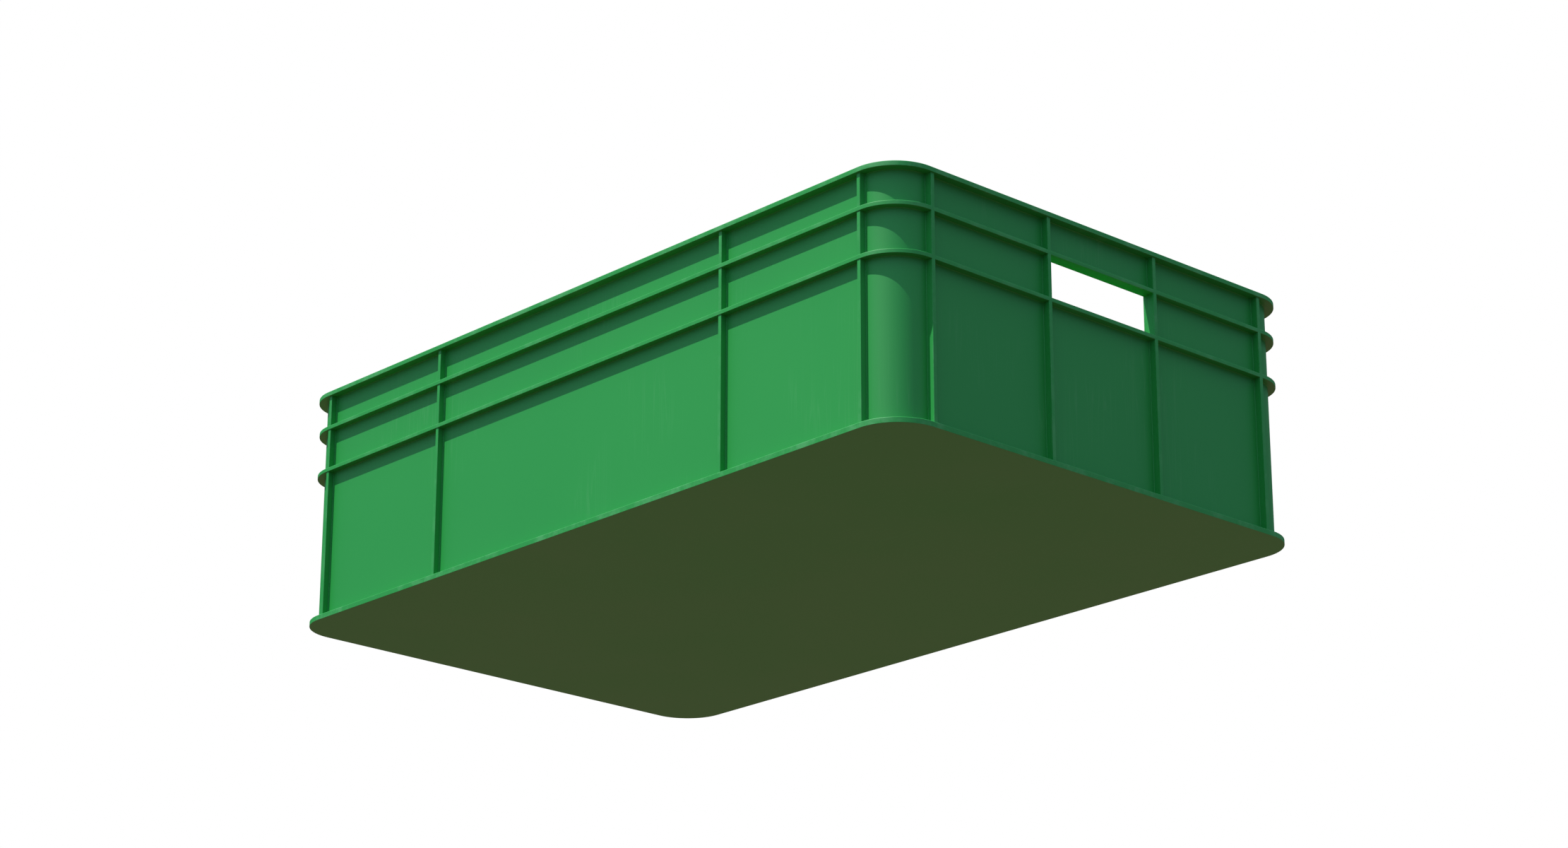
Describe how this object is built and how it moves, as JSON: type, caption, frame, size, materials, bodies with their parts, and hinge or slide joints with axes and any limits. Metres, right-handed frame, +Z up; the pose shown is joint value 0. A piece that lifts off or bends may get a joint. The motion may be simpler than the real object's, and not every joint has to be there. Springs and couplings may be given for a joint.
{
  "type": "stacking plastic crate",
  "caption": "Open rectangular moulded plastic crate with rounded corners, a flat base flange, bands and a rim round its walls, upright ribs, and a hand hole in each end.",
  "frame": {"origin": "middle of the flat underside", "axes": "+X along the long sides towards the right end, +Y across towards the back, +Z up out of the open top"},
  "size_m": [0.6, 0.369, 0.167],
  "materials": {
    "green_plastic": "satin moulded polypropylene, one green all through"
  },
  "bodies": {
    "root": {"floor_panel": "green_plastic", "base_flange": "green_plastic", "lower_band": "green_plastic", "upper_band": "green_plastic", "top_rim": "green_plastic", "front_wall": "green_plastic", "back_wall": "green_plastic", "left_end_wall": "green_plastic", "right_end_wall": "green_plastic", "front_left_corner": "green_plastic", "front_right_corner": "green_plastic", "back_left_corner": "green_plastic", "back_right_corner": "green_plastic", "front_rib_1": "green_plastic", "front_rib_2": "green_plastic", "front_rib_3": "green_plastic", "front_rib_4": "green_plastic", "back_rib_1": "green_plastic", "back_rib_2": "green_plastic", "back_rib_3": "green_plastic", "back_rib_4": "green_plastic", "left_rib_1": "green_plastic", "left_rib_2": "green_plastic", "left_rib_3": "green_plastic", "left_rib_4": "green_plastic", "right_rib_1": "green_plastic", "right_rib_2": "green_plastic", "right_rib_3": "green_plastic", "right_rib_4": "green_plastic"}
  },
  "joints": []
}
